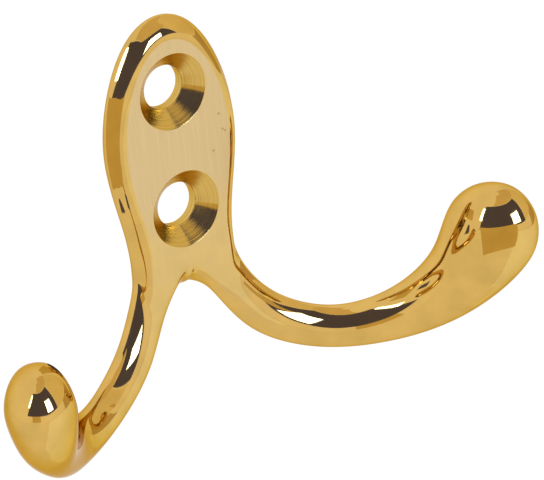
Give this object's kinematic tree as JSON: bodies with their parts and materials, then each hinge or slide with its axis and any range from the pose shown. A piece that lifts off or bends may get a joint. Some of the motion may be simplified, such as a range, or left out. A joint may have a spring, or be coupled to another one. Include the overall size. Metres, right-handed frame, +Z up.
{
  "type": "double robe hook",
  "caption": "Cast brass wall hook: an oval plate with countersunk screw holes forks into curved arms that sweep forward and up to rounded ends for hanging robes or coats.",
  "frame": {"origin": "midway between the screw holes, on the wall plane", "axes": "+X to the right along the wall, +Y into the wall, +Z up; the hooks reach forward along -Y"},
  "size_m": [0.0696, 0.0212, 0.0441],
  "materials": {
    "polished_brass": "polished"
  },
  "bodies": {
    "root": {"robe_hook": "polished_brass"}
  },
  "joints": []
}
